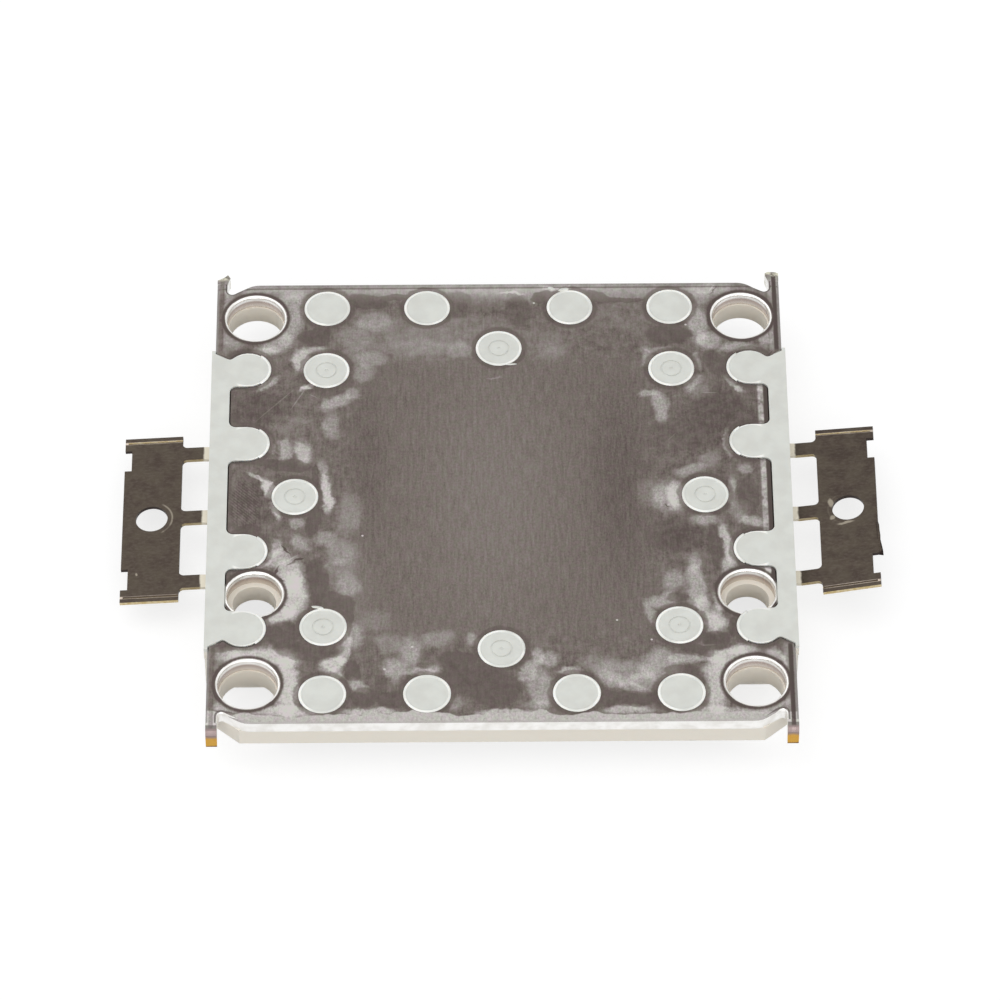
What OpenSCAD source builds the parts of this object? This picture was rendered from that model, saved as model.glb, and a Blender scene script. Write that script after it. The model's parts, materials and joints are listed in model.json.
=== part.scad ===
// Chip-on-board LED module: a plated copper base plate with a white frame moulded
// round it, two sheet terminals, and rows of dies wired in series under a phosphor gel.
// Millimetres. The origin is the centre of the back (heat sink) face, +Z points out of
// that face, X runs from terminal to terminal. Light leaves the module towards -Z.

/* [Base plate] */
// Thickness of the copper base plate
plate_t = 1.0; // [0.8:0.1:1.4]
// Length of the base plate in Y
plate_l = 39.1; // [38.8:0.1:42]
// How far the ears stay inside the plastic width on each side
ear_inset = 0.25; // [0.1:0.05:0.6]
// Depth of the coined step that locks the plastic rails and plugs
coin_depth = 0.5; // [0.3:0.05:0.6]
// Width of the plastic rail seen beside the plate
rail_w = 1.3; // [1:0.1:1.6]
// Width of the rail below the coined step
rail_root_w = 0.7; // [0.5:0.05:0.9]
// Run of the corner chamfer in X
chamfer_x = 1.75; // [1.2:0.05:2.2]
// Run of the corner chamfer in Y
chamfer_y = 1.15; // [0.8:0.05:1.3]
// Radius where the chamfer meets the end edge
chamfer_r = 1.5; // [0.5:0.1:2]
// Width of the sheared edge's rounding on the outer edges
roll_w = 0.4; // [0.1:0.05:0.45]
// Width of the rounding beside the rails
roll_rail_w = 0.32; // [0.1:0.02:0.36]
// Width of the rounding at holes and lobes
roll_hole_w = 0.18; // [0.05:0.01:0.22]
// Depth of the rounding
roll_h = 0.2; // [0.05:0.01:0.25]

/* [Tie bar stubs] */
// Width of the cut tie bars at the corners
stub_w = 0.75; // [0.6:0.05:0.85]
// Reach of the stub necks past the root of the chamfer
stub_neck = 1.15; // [1:0.05:1.5]
// Radius at the foot of a stub
stub_root_r = 0.3; // [0.15:0.05:0.4]
// Reach of the sheared front tips past their necks
front_tip_l = 0.75; // [0.4:0.05:1]
// Drop of the sheared front tips
front_tip_drop = 0.65; // [0.2:0.05:0.9]

/* [Plugs and lobes] */
// Radius of the moulded plug heads
plug_r = 1.5; // [1.3:0.05:1.6]
// Radius of the plug shanks and lobe shanks
shank_r = 1.1; // [0.8:0.05:1.2]
// Radius of the lobes on the rails
lobe_r = 1.5; // [1.3:0.05:1.6]
// Distance of a lobe's centre from the plastic's side
lobe_inset = 2.55; // [2.5:0.05:2.8]
// Distance of the inner lobes from the middle
lobe_inner_y = 4.8; // [4.2:0.1:5.4]
// Straight length between an outer lobe and the rail's end
lobe_end_gap = 0.25; // [0.15:0.05:0.3]
// Radius at the mouth of a lobe
lobe_mouth_r = 0.5; // [0.3:0.05:0.7]
// Radius of the point between an outer lobe and the ear
shoulder_r = 0.3; // [0.28:0.02:0.4]
// Distance of that point's centre inside the ear's side
shoulder_inset = 1.0; // [0.9:0.05:1.2]
// Slope of the ear's edge from that point outwards
shoulder_slope = 30; // [15:1:40]
// Distance of the plain plug row from the plate's end
plain_row_inset = 2.35; // [2.2:0.05:2.6]
// X of the inner plain plugs
plain_inner_x = 5.0; // [3:0.1:7]
// X of the outer plain plugs
plain_outer_x = 12.0; // [11.4:0.1:12.6]
// X of the four diagonal gate plugs
gate_x = 12.0; // [11.9:0.1:12.6]
// Y of the four diagonal gate plugs
gate_y = 11.45; // [11.4:0.05:12]
// Distance of the end gate plugs from the middle
gate_end_y = 13.4; // [13:0.1:13.6]
// Distance of the side gate plugs from the middle
gate_side_x = 14.05; // [13.9:0.05:14.4]
// Radius of the ring mark on a gate plug
gate_ring_r = 0.75; // [0.5:0.05:0.9]
// Depth of the ring mark
gate_ring_depth = 0.05; // [0.02:0.01:0.1]
// Width of the ring mark
gate_ring_w = 0.12; // [0.06:0.02:0.2]

/* [Holes] */
// Mounting hole spacing in X
mount_pitch_x = 34.0; // [33:0.1:34.4]
// Mounting hole spacing in Y
mount_pitch_y = 32.6; // [32:0.1:33.2]
// Radius of the mounting holes in the plate
mount_plate_r = 2.0; // [1.6:0.05:2.1]
// How much smaller the mounting holes are in the plastic
mount_step = 0.1; // [0.05:0.05:0.3]
// Spacing of the two locating holes in X
locate_pitch = 33.4; // [32.8:0.1:33.6]
// Distance of the locating holes in front of the middle
locate_y = 8.6; // [8.4:0.05:8.9]
// Radius of the locating holes in the plate
locate_plate_r = 1.85; // [1.6:0.05:1.9]
// Radius of the locating holes in the plastic
locate_r = 1.475; // [1.2:0.025:1.55]

/* [Frame] */
// Width of the moulded frame in X
body_w = 40.0; // [39.8:0.1:41]
// Length of the raised body in Y
body_l = 26.8; // [26.6:0.1:27.4]
// Depth of the whole module
total_t = 4.3; // [4:0.1:5.5]
// Radius of the body's upright corners
body_corner_r = 0.6; // [0.4:0.1:1]
// Bevel round the rim of the body
rim_bevel = 0.25; // [0.1:0.05:0.4]
// Thickness of the end flanges
flange_t = 1.4; // [1.2:0.05:1.7]
// How far the flanges stay inside the plate's ends
flange_inset = 0.1; // [0.05:0.05:0.3]
// How far the flanges stay inside the ears at the sides
flange_side_inset = 0.55; // [0.4:0.05:0.8]
// How much larger the flanges' corner cuts are than the plate's
flange_corner_more = 0.25; // [0.2:0.05:0.4]
// How much shorter the rails are than the body at each end
rail_end_inset = 0.1; // [0.05:0.05:0.2]
// Length of the pockets over the locating holes in Y
pocket_l = 6.2; // [5.5:0.1:6.3]
// Width of the pockets in X
pocket_w = 4.2; // [3.6:0.1:4.4]
// Radius of the pocket corners
pocket_r = 0.8; // [0.4:0.1:1.2]

/* [Window and gel] */
// Side of the square window at the plate
window = 21.6; // [21.4:0.1:21.8]
// Radius of the window's corners
window_r = 2.0; // [1.8:0.1:2.6]
// Width of the bonding ledges beside the window
ledge_w = 1.2; // [0.9:0.1:1.3]
// Step of the window's end walls above the ledges
end_step = 0.4; // [0.2:0.1:0.5]
// How far the window opens out between the gel and the rim
rim_flare = 0.8; // [0.4:0.1:1]
// Depth of the gel's surface below the rim
gel_recess = 0.9; // [0.6:0.1:1.2]

/* [Terminals] */
// Thickness of the terminal sheet
sheet_t = 0.25; // [0.2:0.05:0.3]
// Distance from the back face to the terminal sheet
sheet_z = 2.05; // [1.9:0.05:2.1]
// Width of the blade in X
blade_w = 4.0; // [3.5:0.1:5]
// Length of the blade in Y
blade_l = 14.6; // [14:0.1:16]
// Gap between the frame and the blade
blade_gap = 1.95; // [1.5:0.05:2.5]
// Spacing of the three fingers
finger_pitch = 5.7; // [5.4:0.05:6]
// Width of a finger
finger_w = 1.1; // [0.9:0.05:1.3]
// Radius at the foot of a finger
finger_root_r = 0.35; // [0.2:0.05:0.5]
// Gap between a bonding strip and the start of the window's rounded corner
strip_end_gap = 0.1; // [0.05:0.05:1]
// Radius of the wire hole
wire_hole_r = 1.1; // [0.8:0.05:1.2]
// Distance of the notches from the middle of the blade
notch_y = 5.3; // [4.8:0.05:5.5]
// Length of a notch
notch_l = 1.8; // [1.4:0.05:2]
// Depth of a notch
notch_depth = 0.48; // [0.3:0.02:0.6]
// Distance of the score line from the blade's ends
score_inset = 0.42; // [0.3:0.02:0.5]
// Depth of the score line
score_depth = 0.08; // [0.04:0.01:0.12]
// Distance from the frame to the bend in the fingers
bend_gap = 0.55; // [0.4:0.05:1]
// Upward bend of the left terminal in degrees
left_bend = -4; // [-8:1:12]
// Upward bend of the right terminal in degrees
right_bend = 9; // [-8:1:12]
// Twist along the right blade in degrees
right_twist = 6; // [0:1:8]

/* [Dies and wires] */
// Number of dies in a string
dies_per_row = 10; // [8:1:10]
// Spacing of the strings
row_pitch = 4.0; // [3:0.1:4.2]
// Spacing of the dies in a string
die_pitch = 2.0; // [1.9:0.05:2.05]
// Side of a die
die_w = 1.1; // [0.9:0.05:1.15]
// Thickness of a die
die_t = 0.15; // [0.1:0.01:0.2]
// Distance of a bond pad from the die's middle
pad_x = 0.35; // [0.25:0.01:0.4]
// Diameter of the bond wire
wire_d = 0.05; // [0.04:0.01:0.06]
// Rise of a wire between two dies
wire_rise = 0.35; // [0.25:0.05:0.45]
// Rise of a wire from an end die over the edge of a bonding strip
wire_end_rise = 0.6; // [0.55:0.05:0.7]
// Diameter of a bond foot
foot_d = 0.16; // [0.12:0.01:0.2]
// Thickness of a bond foot
foot_t = 0.06; // [0.05:0.01:0.08]

/* [Hidden] */

rows = 5;                               // series strings, one node of dies and one of wires each
arc_step = 15;                          // degrees between points on outline arcs
cut = 0.2;                              // how far cutting bodies run past a face
ear_x = body_w / 2 - ear_inset;
recess_x = body_w / 2 - rail_w;
recess_root_x = body_w / 2 - rail_root_w;
end_y = plate_l / 2;
rail_l = body_l - 2 * rail_end_inset;
lobe_x = body_w / 2 - lobe_inset;
lobe_outer_y = rail_l / 2 - lobe_r - lobe_end_gap;
stub_x = ear_x - stub_w;
root_y = end_y - chamfer_y;
neck_y = root_y + stub_neck;
mount_r = mount_plate_r - mount_step;
plain_y = end_y - plain_row_inset;
window_upper = [window + 2 * ledge_w, window + 2 * end_step];
strip_l = window_upper[1] - 2 * window_r - 2 * strip_end_gap;
blade_x = body_w / 2 + blade_gap;
bend_x = body_w / 2 + bend_gap;
bend_lap = 0.05;                        // how far the two lengths run into each other at the bend
tip_x = blade_x + blade_w;
sheet_mid_z = -sheet_z - sheet_t / 2;
gel_z = -total_t + gel_recess;
$fn = 48;

lobe_places = [for (x = [-1, 1], y = [-lobe_outer_y, -lobe_inner_y, lobe_inner_y, lobe_outer_y])
    [x * lobe_x, y]];
plain_places = [for (x = [-plain_outer_x, -plain_inner_x, plain_inner_x, plain_outer_x], y = [-1, 1])
    [x, y * plain_y]];
gate_places = concat([for (x = [-gate_x, gate_x], y = [-gate_y, gate_y]) [x, y]],
    [[0, gate_end_y], [0, -gate_end_y], [gate_side_x, 0], [-gate_side_x, 0]]);
mount_places = [for (x = [-0.5, 0.5], y = [-0.5, 0.5]) [x * mount_pitch_x, y * mount_pitch_y]];
locate_places = [for (x = [-0.5, 0.5]) [x * locate_pitch, -locate_y]];

// ---- Outlines -------------------------------------------------------------------
// An outline is a list of [x, y, nx, ny, w]: a point, its outward normal and the width
// of the edge rounding there, so the same list gives every inset ring of a rounded edge.

// Arc about c from angle a0 to a1. side is 1 where the solid is inside the circle.
function arc(c, r, a0, a1, side, w) =
    let (n = max(1, ceil(abs(a1 - a0) / arc_step)))
    [for (i = [0 : n])
        let (a = a0 + (a1 - a0) * i / n)
        [c[0] + r * cos(a), c[1] + r * sin(a), side * cos(a), side * sin(a), w]];

function flip_x(outline) = [for (i = [len(outline) - 1 : -1 : 0])
    let (p = outline[i]) [-p[0], p[1], -p[2], p[3], p[4]]];
function flip_y(outline) = [for (i = [len(outline) - 1 : -1 : 0])
    let (p = outline[i]) [p[0], -p[1], p[2], -p[3], p[4]]];
// Four copies of the first quadrant's outline, counter-clockwise round the origin.
function all_quadrants(q) = concat(q, flip_x(q), flip_y(flip_x(q)), flip_y(q));

// One quadrant's two lobe notches: straight necks, a round end and a rounded mouth.
function inner_notch() = concat(
    arc([recess_x - lobe_mouth_r, lobe_inner_y - lobe_r - lobe_mouth_r], lobe_mouth_r, 0, 90,
        1, roll_rail_w),
    arc([lobe_x, lobe_inner_y], lobe_r, -90, -270, -1, roll_hole_w),
    arc([recess_x - lobe_mouth_r, lobe_inner_y + lobe_r + lobe_mouth_r], lobe_mouth_r, -90, 0,
        1, roll_rail_w));

// The outer lobe runs on round a point, tangent to it, and the ear's edge slopes out.
shoulder_x = ear_x - shoulder_inset;
shoulder_dx = shoulder_x - lobe_x;
shoulder_dy = sqrt(pow(lobe_r + shoulder_r, 2) - pow(shoulder_dx, 2));
shoulder_y = lobe_outer_y + shoulder_dy;
shoulder_a = atan2(shoulder_dy, shoulder_dx);
shoulder_end = 270 + shoulder_slope;
slope_run = ear_x - shoulder_x - shoulder_r * cos(shoulder_end);
slope_y = shoulder_y + shoulder_r * sin(shoulder_end) + slope_run * tan(shoulder_slope);
function outer_notch() = concat(
    arc([recess_x - lobe_mouth_r, lobe_outer_y - lobe_r - lobe_mouth_r], lobe_mouth_r, 0, 90,
        1, roll_rail_w),
    arc([lobe_x, lobe_outer_y], lobe_r, -90, shoulder_a - 360, -1, roll_hole_w),
    arc([shoulder_x, shoulder_y], shoulder_r, shoulder_a + 180, shoulder_end, 1, roll_hole_w),
    [[ear_x, slope_y, 1, -cos(shoulder_slope) / (1 + sin(shoulder_slope)), roll_w]]);

// Stub neck, rounded foot and chamfer, up to the end edge. over lengthens the neck.
chamfer_a = atan2(chamfer_y, -chamfer_x);
foot_half = (90 - (180 - chamfer_a)) / 2;
foot_c = [stub_x - stub_root_r, root_y + stub_root_r / tan(foot_half)];
chamfer_c = [stub_x - chamfer_x - chamfer_r * tan((180 - chamfer_a) / 2), end_y - chamfer_r];
function corner(over) = concat(
    [[ear_x, neck_y + over, 1, 0, roll_w], [stub_x, neck_y + over, -1, 0, roll_hole_w]],
    arc(foot_c, stub_root_r, 0, chamfer_a - 270, -1, roll_hole_w),
    arc(chamfer_c, chamfer_r, chamfer_a - 90, 90, 1, roll_w));

// Drops a point that repeats the one before it, as where two tangent arcs meet.
function no_repeats(o) = [for (i = [0 : len(o) - 1])
    let (q = o[i == 0 ? len(o) - 1 : i - 1])
    if (norm([o[i][0] - q[0], o[i][1] - q[1]]) > 0.001) o[i]];

plate_outline = no_repeats(all_quadrants(concat(inner_notch(), outer_notch(), corner(0))));
rounded_outline = no_repeats(all_quadrants(concat(inner_notch(), outer_notch(), corner(cut))));
plate_root_outline = all_quadrants(concat(
    [[recess_root_x, body_l / 2, 1, 0, 0], [ear_x, body_l / 2, 1, 0, 0]], corner(0)));

function round_rect(size, r) = all_quadrants(
    arc([size[0] / 2 - r, size[1] / 2 - r], r, 0, 90, 1, 1));

function ring(outline, inset) = [for (p = outline)
    [p[0] - p[2] * p[4] * inset, p[1] - p[3] * p[4] * inset]];

module flat(outline) polygon(ring(outline, 0));

// Solid through rings of one outline. levels is a list of [z, inset], from low to high.
module stack(outline, levels) {
    n = len(outline);
    top = len(levels) - 1;
    points = [for (l = levels, p = ring(outline, l[1])) [p[0], p[1], l[0]]];
    sides = [for (k = [0 : top - 1], i = [0 : n - 1])
        let (j = (i + 1) % n)
        [k * n + i, (k + 1) * n + i, (k + 1) * n + j, k * n + j]];
    polyhedron(points = points, convexity = 10, faces = concat(
        [[for (i = [0 : n - 1]) i]], sides,
        [[for (i = [n - 1 : -1 : 0]) top * n + i]]));
}

// ---- Base plate -----------------------------------------------------------------
// What a sheared edge loses to its rounding at the back face, as a closed band along the
// outline. Its section starts outside the wall and ends above the face, so that both are
// crossed and not only touched.
module edge_rounding(outline) {
    past = 0.02;
    slope = 0.7 / (0.3 * roll_h);
    section = [[-1.3 * roll_h, -0.26], [-0.3 * roll_h, 0.3], [past, 1 + slope * past], [cut, -0.5]];
    n = len(outline);
    m = len(section);
    points = [for (i = [0 : n - 1], s = section)
        let (p = outline[i]) [p[0] - p[2] * p[4] * s[1], p[1] - p[3] * p[4] * s[1], s[0]]];
    polyhedron(points = points, convexity = 10, faces = [
        for (i = [0 : n - 1], k = [0 : m - 1], half = [0, 1])
            let (j = (i + 1) % n, l = (k + 1) % m)
            half == 0 ? [i * m + k, j * m + k, j * m + l] : [i * m + k, j * m + l, i * m + l]]);
}

// Hole through the plate whose edge at the back face is rounded like a sheared edge.
module sheared_hole(r, depth) rotate_extrude() difference() {
    translate([0, -depth]) square([r + roll_hole_w, depth + cut]);
    translate([r, -depth - cut]) square([roll_hole_w + cut, depth + cut - roll_hole_w]);
    translate([r + roll_hole_w, -roll_hole_w]) circle(roll_hole_w);
}

// Torn ends of the rear stubs. x runs inwards from the ear's side, y past the neck.
left_tip = [[0, 0], [0, 0.35], [0.45, 0.6], [0.72, 0.85], [0.9, 0.55], [0.78, 0.2], [stub_w, 0]];
right_tip = [[0, 0], [0, 0.7], [0.2, 0.82], [0.75, 0.85], [0.95, 0.72], [0.9, 0.4], [stub_w, 0]];
module rear_tip(points, side) {
    translate([side * ear_x, neck_y, -plate_t]) mirror([side < 0 ? 0 : 1, 0, 0])
        linear_extrude(plate_t) polygon(points);
}

// Sheared end of a front stub: rolled over on top and dragged down to a burr.
module front_tip(side) {
    profile = concat(
        [for (a = [0 : 15 : 90]) [front_tip_l * sin(a), -front_tip_drop * (1 - cos(a))]],
        [[front_tip_l, -plate_t - front_tip_drop], [front_tip_l * 0.7, -plate_t - front_tip_drop * 0.8],
         [0, -plate_t]]);
    translate([side > 0 ? ear_x : -stub_x, -neck_y, 0]) rotate([90, 0, -90])
        linear_extrude(stub_w) polygon(profile);
}

module base_plate() color([0.56, 0.53, 0.50]) difference() {
    union() {
        translate([0, 0, -plate_t]) linear_extrude(plate_t - coin_depth) flat(plate_root_outline);
        difference() {
            translate([0, 0, -coin_depth]) linear_extrude(coin_depth) flat(plate_outline);
            edge_rounding(rounded_outline);
        }
        rear_tip(left_tip, -1);
        rear_tip(right_tip, 1);
        for (side = [-1, 1]) front_tip(side);
    }
    for (p = mount_places) translate(p) sheared_hole(mount_plate_r, plate_t + cut);
    for (p = locate_places) translate(p) sheared_hole(locate_plate_r, plate_t + cut);
    for (p = concat(plain_places, gate_places)) translate(p) {
        sheared_hole(plug_r, coin_depth);
        translate([0, 0, -plate_t - cut]) cylinder(r = shank_r, h = plate_t);
    }
    for (p = lobe_places) translate([p[0], p[1], -plate_t - cut]) cylinder(r = shank_r, h = plate_t);
}

// ---- Frame ----------------------------------------------------------------------
flange_corner = chamfer_y + flange_corner_more;
flange_x = ear_x - flange_side_inset;
function flange_quadrant() = let (y = end_y - flange_inset)
    [[flange_x, 0, 1, 0, 0], [flange_x, y - flange_corner, 1, 0, 0],
     [flange_x - flange_corner - flange_corner_more, y, 0, 1, 0]];

module raised_body() {
    bevel = [for (p = round_rect([body_w, body_l], body_corner_r)) [p[0], p[1], p[2], p[3], rim_bevel]];
    stack(bevel, [[-total_t, 1], [-total_t + rim_bevel, 0], [-plate_t, 0]]);
}

module rails() {
    strip_w = body_w / 2 - lobe_x + lobe_r;
    for (side = [-1, 1]) {
        translate([0, 0, -coin_depth]) linear_extrude(coin_depth) difference() {
            translate([side * (body_w / 2 - strip_w / 2), 0]) square([strip_w, rail_l], center = true);
            flat(plate_outline);
        }
        translate([side * (body_w / 2 - rail_root_w / 2), 0, -plate_t / 2 - coin_depth / 2])
            cube([rail_root_w, rail_l, plate_t - coin_depth], center = true);
    }
    for (p = lobe_places) translate([p[0], p[1], -plate_t]) cylinder(r = shank_r, h = plate_t - coin_depth);
}

module plug(p) translate(p) {
    translate([0, 0, -coin_depth]) cylinder(r = plug_r, h = coin_depth);
    translate([0, 0, -plate_t]) cylinder(r = shank_r, h = plate_t - coin_depth);
}

module gate_mark() translate([0, 0, -gate_ring_depth]) {
    difference() {
        cylinder(r = gate_ring_r, h = gate_ring_depth + cut);
        translate([0, 0, -cut]) cylinder(r = gate_ring_r - gate_ring_w, h = gate_ring_depth + 3 * cut);
    }
    cylinder(r = gate_ring_w, h = gate_ring_depth + cut);
}

// The window: square at the plate, wider above the ledges, and flared above the gel.
module window_lower() translate([0, 0, -sheet_z - cut]) linear_extrude(sheet_z - plate_t + 2 * cut)
    flat(round_rect([window, window], window_r));
module window_upper() translate([0, 0, gel_z - cut]) linear_extrude(-sheet_z - gel_z + cut)
    flat(round_rect(window_upper, window_r));
module window_flare() stack(round_rect(window_upper, window_r),
    [[-total_t - cut, -rim_flare - cut], [-total_t, -rim_flare], [gel_z, 0]]);

module frame() color([0.90, 0.91, 0.88]) difference() {
    union() {
        raised_body();
        translate([0, 0, -plate_t - flange_t]) linear_extrude(flange_t) flat(all_quadrants(flange_quadrant()));
        rails();
        for (p = concat(plain_places, gate_places)) plug(p);
    }
    window_lower();
    window_upper();
    window_flare();
    for (p = mount_places) translate([p[0], p[1], -total_t]) cylinder(r = mount_r, h = total_t);
    for (p = locate_places) {
        translate([p[0], p[1], -total_t]) cylinder(r = locate_r, h = total_t);
        translate([p[0], p[1], -total_t - cut]) linear_extrude(total_t + cut - plate_t - flange_t)
            flat(round_rect([pocket_w, pocket_l], pocket_r));
    }
    for (p = gate_places) translate(p) gate_mark();
    for (side = [0, 1]) mirror([side, 0, 0]) embedded_sheet();
}

// ---- Terminals ------------------------------------------------------------------
module finger_foot(y, side) translate([blade_x, y + side * finger_w / 2]) mirror([0, side < 0 ? 1 : 0])
    difference() {
        translate([-finger_root_r, 0]) square(finger_root_r);
        translate([-finger_root_r, finger_root_r]) circle(finger_root_r);
    }

module sheet_plan() difference() {
    union() {
        translate([window / 2, -strip_l / 2]) square([ledge_w, strip_l]);
        for (y = [-finger_pitch, 0, finger_pitch]) {
            translate([window / 2, y - finger_w / 2]) square([blade_x - window / 2, finger_w]);
            for (side = [-1, 1]) finger_foot(y, side);
        }
        translate([blade_x, -blade_l / 2]) square([blade_w, blade_l]);
    }
    translate([blade_x + blade_w / 2, 0]) circle(wire_hole_r);
    for (y = [-notch_y, notch_y]) translate([tip_x - notch_depth, y - notch_l / 2])
        square([notch_depth + cut, notch_l]);
}

// The flat length of a terminal: the bonding strip and the fingers up to the bend.
module flat_sheet() translate([0, 0, -sheet_z - sheet_t]) linear_extrude(sheet_t) intersection() {
    sheet_plan();
    translate([0, -strip_l / 2]) square([bend_x + bend_lap, strip_l]);
}
// What of it the plastic closes round.
module embedded_sheet() translate([0, 0, -sheet_z - sheet_t]) linear_extrude(sheet_t)
    for (y = [-finger_pitch, 0, finger_pitch]) translate([window / 2 + cut, y - finger_w / 2])
        square([body_w / 2 - window / 2, finger_w]);

// Bent and twisted slab about the Y axis, from which the blade is cut.
module twisted_sheet(reach, bend, twist) {
    slices = 8;
    half = sheet_t / 2;
    corners = [[-bend_lap, -half], [reach, -half], [reach, half], [-bend_lap, half]];
    points = [for (k = [0 : slices], c = corners)
        let (s = k / slices - 0.5, a = bend - s * twist)
        [c[0] * cos(a) - c[1] * sin(a), s * blade_l, c[0] * sin(a) + c[1] * cos(a)]];
    polyhedron(points = points, faces = concat([[3, 2, 1, 0]],
        [for (k = [0 : slices - 1], i = [0 : 3])
            let (j = (i + 1) % 4) [4 * k + i, 4 * k + j, 4 * k + 4 + j, 4 * k + 4 + i]],
        [[for (i = [0 : 3]) 4 * slices + i]]));
}

// A terminal on the +X side. The blade turns up about the bend, and may twist along Y.
module terminal(bend, twist) {
    reach = tip_x - bend_x;
    flat_sheet();
    translate([bend_x, 0, sheet_mid_z]) difference() {
        intersection() {
            twisted_sheet(reach + cut, bend, twist);
            rotate([0, -bend, 0]) translate([-bend_x, 0, -blade_w]) linear_extrude(2 * blade_w) sheet_plan();
        }
        for (side = [-1, 1]) translate([0, side * (blade_l / 2 - score_inset), 0])
            rotate([0, -bend + side * twist * (0.5 - score_inset / blade_l), 0])
                translate([-cut, 0, sheet_t / 2]) rotate([45, 0, 0])
                    cube([2 * reach, score_depth * sqrt(2), score_depth * sqrt(2)], center = true);
    }
}

module left_terminal() color([0.42, 0.37, 0.33]) mirror([1, 0, 0]) terminal(left_bend, 0);
module right_terminal() color([0.42, 0.37, 0.33]) terminal(right_bend, right_twist);

// ---- Dies, wires and gel ----------------------------------------------------------
function row_y(row) = (row - (rows + 1) / 2) * row_pitch;
function die_x(i) = (i - (dies_per_row - 1) / 2) * die_pitch;
die_z = -plate_t - die_t;
strip_x = window / 2 + ledge_w / 2;

module die_row(row) color([0.36, 0.45, 0.70]) for (i = [0 : dies_per_row - 1])
    translate([die_x(i) - die_w / 2, row_y(row) - die_w / 2, die_z]) cube([die_w, die_w, die_t]);

// Round wire from a to b in the XZ plane, bowed towards the light side.
module wire(a, b, rise) {
    chord = norm(b - a);
    r = (chord * chord / 4 + rise * rise) / (2 * rise);
    half = asin(chord / 2 / r);
    middle = (a + b) / 2;
    translate([middle[0], 0, middle[1]]) rotate([90, 0, 0]) rotate(atan2(b[1] - a[1], b[0] - a[0]))
        translate([0, r - rise, 0]) rotate(270 - half) rotate_extrude(angle = 2 * half)
            translate([r, 0]) circle(d = wire_d, $fn = 16);
}
module foot(x, z) translate([x, 0, z - foot_t]) cylinder(d = foot_d, h = foot_t, $fn = 24);

module bond_wires(row) color([0.85, 0.68, 0.30]) translate([0, row_y(row), 0]) {
    lift = foot_t / 2;
    for (i = [0 : dies_per_row - 2]) {
        a = [die_x(i) + pad_x, die_z - lift];
        b = [die_x(i + 1) - pad_x, die_z - lift];
        wire(a, b, wire_rise);
    }
    for (i = [0 : dies_per_row - 1], side = [-1, 1]) foot(die_x(i) + side * pad_x, die_z);
    for (side = [0, 1]) mirror([side, 0, 0]) {
        wire([die_x(dies_per_row - 1) + pad_x, die_z - lift], [strip_x, -sheet_z - sheet_t - lift],
            wire_end_rise);
        foot(strip_x, -sheet_z - sheet_t);
    }
}

module phosphor_gel() color([0.94, 0.80, 0.28]) difference() {
    union() {
        translate([0, 0, -sheet_z]) linear_extrude(sheet_z - plate_t) flat(round_rect([window, window], window_r));
        translate([0, 0, gel_z]) linear_extrude(-sheet_z - gel_z) flat(round_rect(window_upper, window_r));
    }
    for (side = [0, 1]) mirror([side, 0, 0]) flat_sheet();
    for (row = [1 : rows]) {
        die_row(row);
        bond_wires(row);
    }
}

base_plate();
frame();
left_terminal();
right_terminal();
phosphor_gel();
die_row(1);  // die_row_1
die_row(2);  // die_row_2
die_row(3);  // die_row_3
die_row(4);  // die_row_4
die_row(5);  // die_row_5
bond_wires(1);  // bond_wires_1
bond_wires(2);  // bond_wires_2
bond_wires(3);  // bond_wires_3
bond_wires(4);  // bond_wires_4
bond_wires(5);  // bond_wires_5
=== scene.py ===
import functools
import json
import math

import bmesh
import bpy
from mathutils import Matrix, Vector, noise


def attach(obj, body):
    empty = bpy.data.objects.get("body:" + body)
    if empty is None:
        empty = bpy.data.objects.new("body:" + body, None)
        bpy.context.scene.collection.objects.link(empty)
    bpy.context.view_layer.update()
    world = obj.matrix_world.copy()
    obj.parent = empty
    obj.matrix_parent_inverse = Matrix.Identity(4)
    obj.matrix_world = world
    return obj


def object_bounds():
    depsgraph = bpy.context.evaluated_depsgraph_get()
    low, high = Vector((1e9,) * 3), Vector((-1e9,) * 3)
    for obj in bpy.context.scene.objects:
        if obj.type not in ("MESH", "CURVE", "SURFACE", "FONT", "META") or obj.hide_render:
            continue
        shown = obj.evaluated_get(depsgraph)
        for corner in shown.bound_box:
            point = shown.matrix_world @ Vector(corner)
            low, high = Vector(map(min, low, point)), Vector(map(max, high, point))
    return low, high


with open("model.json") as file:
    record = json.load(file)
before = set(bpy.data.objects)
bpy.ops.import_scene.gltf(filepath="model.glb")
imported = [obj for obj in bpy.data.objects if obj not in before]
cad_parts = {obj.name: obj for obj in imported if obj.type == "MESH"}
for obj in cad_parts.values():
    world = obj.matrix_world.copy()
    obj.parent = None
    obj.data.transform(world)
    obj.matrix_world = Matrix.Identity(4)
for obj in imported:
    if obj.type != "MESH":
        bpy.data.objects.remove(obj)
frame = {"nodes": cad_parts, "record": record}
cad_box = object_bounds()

MM = 0.001

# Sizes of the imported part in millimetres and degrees, for what is drawn on it or laid on it.
WINDOW_HALF, WINDOW_R, GEL_RECESS = (12.0, 11.2), 2.0, 0.9
ROW_PITCH, DIE_PITCH = 4.0, 2.0
MOUNT_HOLE_R, LOCATING_HOLE_R = 2.0, 1.85
WIRE_HOLE_INSET, SCORE_Y = 2.0, 6.88
BEND_X, BEND_REACH, BEND, TWIST, BLADE_L = 20.55, 5.4, 9, 6, 14.6
FLOOR_GAP = 0.02


# ---- Shader building ---------------------------------------------------------------
def tone(red, green, blue):
    """Linear colour of an 8-bit display colour."""
    def linear(v):
        v /= 255.0
        return v / 12.92 if v <= 0.04045 else ((v + 0.055) / 1.055) ** 2.4
    return (linear(red), linear(green), linear(blue), 1.0)


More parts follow.
